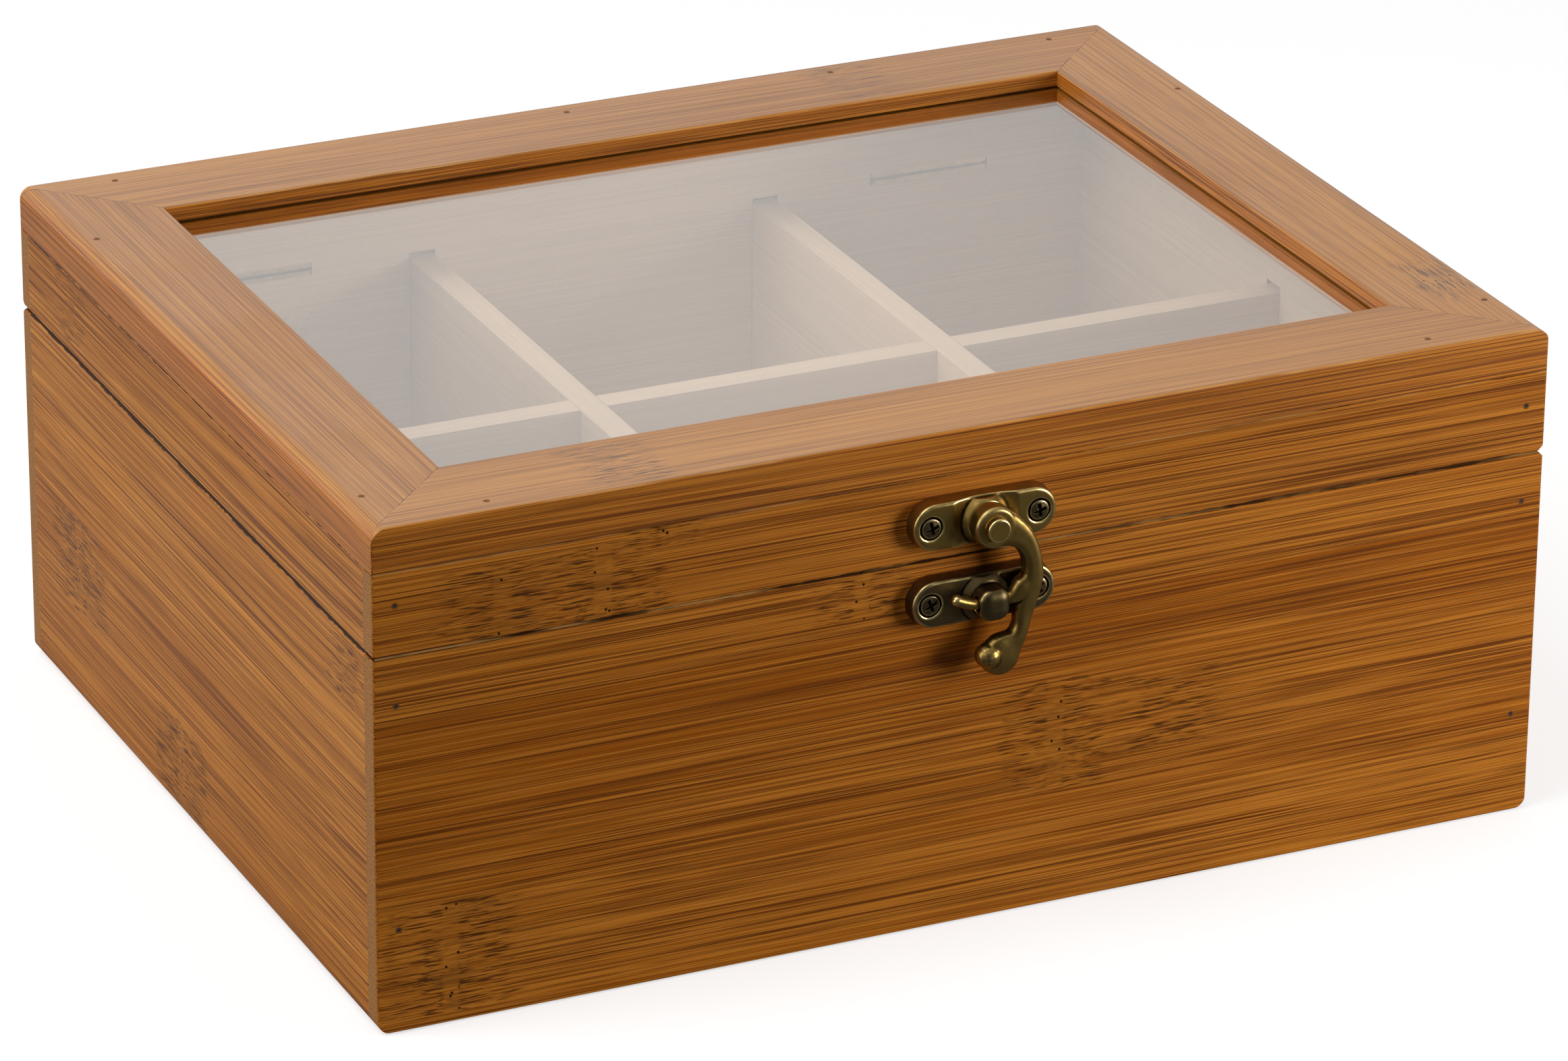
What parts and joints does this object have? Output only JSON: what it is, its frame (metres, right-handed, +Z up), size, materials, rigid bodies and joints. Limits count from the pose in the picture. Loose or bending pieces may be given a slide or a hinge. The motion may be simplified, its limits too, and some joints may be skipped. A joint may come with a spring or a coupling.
{
  "type": "tea bag organizer box",
  "caption": "Rectangular bamboo box with compartments for tea bags, a mitred lid frame holding a glass pane, butt hinges at the back and a cast swing latch at the front.",
  "frame": {"origin": "centre of the flat underside", "axes": "+X to the right end seen from the front (the longest side), +Y to the back, +Z up (the shortest side)"},
  "size_m": [0.22, 0.1791, 0.092],
  "materials": {
    "bamboo_walls": "caramel bamboo, fine long fibres, satin lacquer",
    "bamboo_rails": "caramel bamboo, lighter, satin lacquer",
    "bamboo_inner": "pale natural bamboo, unfinished",
    "glass": "clear float glass",
    "antique_brass": "antiqued cast brass, dark in the hollows and rubbed bright on the edges",
    "hinge_brass": "bright brass plate",
    "dark_steel": "bronzed steel screws",
    "steel": "plain steel wire"
  },
  "bodies": {
    "box": {"front_panel": "bamboo_walls", "back_panel": "bamboo_walls", "left_panel": "bamboo_walls", "right_panel": "bamboo_walls", "bottom_board": "bamboo_inner", "long_divider": "bamboo_inner", "cross_divider_left": "bamboo_inner", "cross_divider_right": "bamboo_inner", "body_brads": "steel", "hinge_leaf_body_left": "hinge_brass", "hinge_leaf_body_right": "hinge_brass", "hinge_pins": "steel", "hinge_screws_body": "hinge_brass", "keeper_plate": "antique_brass", "keeper_screws": "dark_steel"},
    "lid": {"lid_front_wall": "bamboo_walls", "lid_back_wall": "bamboo_walls", "lid_left_wall": "bamboo_walls", "lid_right_wall": "bamboo_walls", "front_rail": "bamboo_rails", "back_rail": "bamboo_rails", "left_rail": "bamboo_rails", "right_rail": "bamboo_rails", "glass_pane": "glass", "lid_wall_brads": "steel", "rail_brads": "steel", "hinge_leaf_lid_left": "hinge_brass", "hinge_leaf_lid_right": "hinge_brass", "hinge_screws_lid": "hinge_brass", "latch_plate": "antique_brass", "latch_plate_screws": "dark_steel", "latch_rivet": "antique_brass"},
    "latch_arm": {"latch_arm": "antique_brass"}
  },
  "joints": [
    {"name": "lid_hinge", "type": "hinge", "parent": "box", "child": "lid", "pos_m": [0, 0.08385, 0.069], "axis": [-1, 0, 0], "range_deg": [0, 100]},
    {"name": "latch_swing", "type": "hinge", "parent": "lid", "child": "latch_arm", "pos_m": [0, -0.0898, 0.0761], "axis": [0, -1, 0], "range_deg": [0, 150]}
  ]
}
